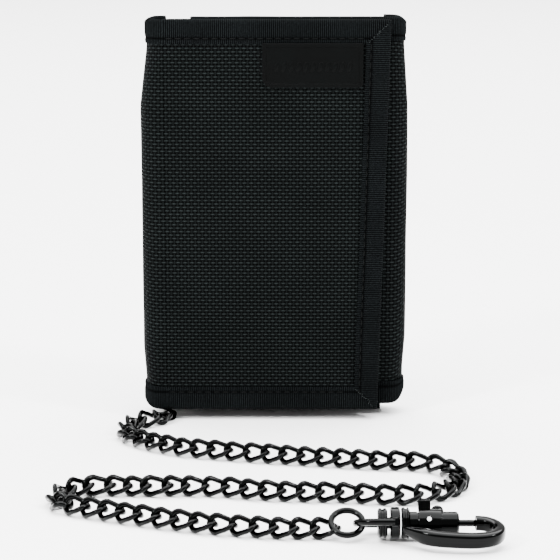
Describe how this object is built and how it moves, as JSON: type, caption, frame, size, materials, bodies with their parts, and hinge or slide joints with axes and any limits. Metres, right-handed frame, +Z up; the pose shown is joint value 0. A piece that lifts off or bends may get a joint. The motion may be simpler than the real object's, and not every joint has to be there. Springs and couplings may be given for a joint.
{
  "type": "tri-fold travel wallet with security chain",
  "caption": "Tri-fold cloth travel wallet with taped edges, hook-and-loop flap and back coin pocket, on a curb chain that ends in a turn-and-lock swivel snap clip.",
  "frame": {"origin": "middle of the folded wallet's footprint, on the surface it stands on", "axes": "+Z up along the wallet's height and its fold lines, -Y out of the front flap, +X towards the flap's free edge"},
  "size_m": [0.1236, 0.1466, 0.1274],
  "materials": {
    "black_metal": "black nickel plate on zinc and steel, glossy",
    "spring_steel": "drawn spring wire",
    "shield_foil": "foil laminate, satin",
    "woven_nylon": "coarse basket-woven ballistic nylon, black",
    "ribbed_tape": "grosgrain binding tape with ribs across, black",
    "lining_cloth": "fine plain-woven polyester, black",
    "stiffener_board": "polyethylene board",
    "rubber_label": "moulded rubber, matt, embossed rim",
    "hook_and_loop": "hook-and-loop fastener, black",
    "clear_film": "clear vinyl film",
    "zip_coil": "nylon coil, black",
    "webbing": "woven webbing, black"
  },
  "bodies": {
    "root": {"back_binding_bottom": "ribbed_tape", "back_binding_top": "ribbed_tape", "back_cover": "woven_nylon", "back_lining": "lining_cloth", "back_stiffener": "stiffener_board", "card_pocket_1": "lining_cloth", "card_pocket_2": "lining_cloth", "card_pocket_3": "lining_cloth", "card_pocket_4": "lining_cloth", "chain_run": "black_metal", "chain_tab": "webbing", "coin_pocket_panel": "woven_nylon", "end_ring": "black_metal", "left_fold": "woven_nylon", "right_fold": "woven_nylon", "shield_layer": "shield_foil", "swivel_eye": "black_metal", "zip_stop_left": "black_metal", "zip_stop_right": "black_metal", "zip_tape_lower": "lining_cloth", "zip_tape_upper": "lining_cloth", "zip_teeth_lower": "zip_coil", "zip_teeth_upper": "zip_coil"},
    "flap": {"flap_cover": "woven_nylon", "flap_stiffener": "stiffener_board", "flap_lining": "lining_cloth", "flap_binding_top": "ribbed_tape", "flap_binding_bottom": "ribbed_tape", "flap_binding_edge": "ribbed_tape", "flap_label": "rubber_label", "hook_strip": "hook_and_loop"},
    "inner": {"inner_cover": "woven_nylon", "inner_stiffener": "stiffener_board", "inner_lining": "lining_cloth", "inner_binding_top": "ribbed_tape", "inner_binding_bottom": "ribbed_tape", "inner_binding_edge": "ribbed_tape", "id_window_frame": "lining_cloth", "id_window": "clear_film", "loop_strip": "hook_and_loop"},
    "zip_slider": {"zip_slider": "black_metal"},
    "zip_pull": {"zip_pull": "black_metal"},
    "d_ring": {"d_ring": "black_metal"},
    "hook": {"swivel_rivet": "black_metal", "hook_body": "black_metal", "plunger_spring": "spring_steel"},
    "plunger": {"gate_plunger": "black_metal", "plunger_knob": "black_metal"},
    "lock": {"lock_sleeve": "black_metal"}
  },
  "joints": [
    {"name": "flap_open", "type": "hinge", "parent": "root", "child": "flap", "pos_m": [-0.041, -0.00165, 0.065], "axis": [0, 0, -1], "range_deg": [0, 180], "deforming": ["left_fold"]},
    {"name": "inner_open", "type": "hinge", "parent": "root", "child": "inner", "pos_m": [0.04, 0.0012, 0.065], "axis": [0, 0, 1], "range_deg": [0, 51], "deforming": ["right_fold"]},
    {"name": "zip_slide", "type": "slide", "parent": "root", "child": "zip_slider", "axis": [-1, 0, 0], "range_m": [0, 0.048]},
    {"name": "pull_swing", "type": "hinge", "parent": "zip_slider", "child": "zip_pull", "pos_m": [0.024, 0.01027, 0.09415], "axis": [1, 0, 0], "range_deg": [0, 175]},
    {"name": "d_ring_swing", "type": "hinge", "parent": "root", "child": "d_ring", "pos_m": [-0.0345, -0.0045, 0.0086], "axis": [1, 0, 0], "range_deg": [0, 35]},
    {"name": "clip_swivel", "type": "hinge", "parent": "root", "child": "hook", "pos_m": [0.021, -0.1235, 0.0044], "axis": [1, 0, 0], "continuous": true},
    {"name": "plunger_pull", "type": "slide", "parent": "hook", "child": "plunger", "axis": [-1, 0, 0], "range_m": [0, 0.0036], "stiffness_N_per_m": 600, "springref_m": -0.003, "deforming": ["plunger_spring"]},
    {"name": "lock_turn", "type": "hinge", "parent": "hook", "child": "lock", "pos_m": [0.021, -0.1235, 0.0044], "axis": [1, 0, 0], "range_deg": [0, 35]}
  ],
  "couplings": [
    {"joint": "inner_open", "follows": "flap_open", "ratio": 0.28}
  ]
}
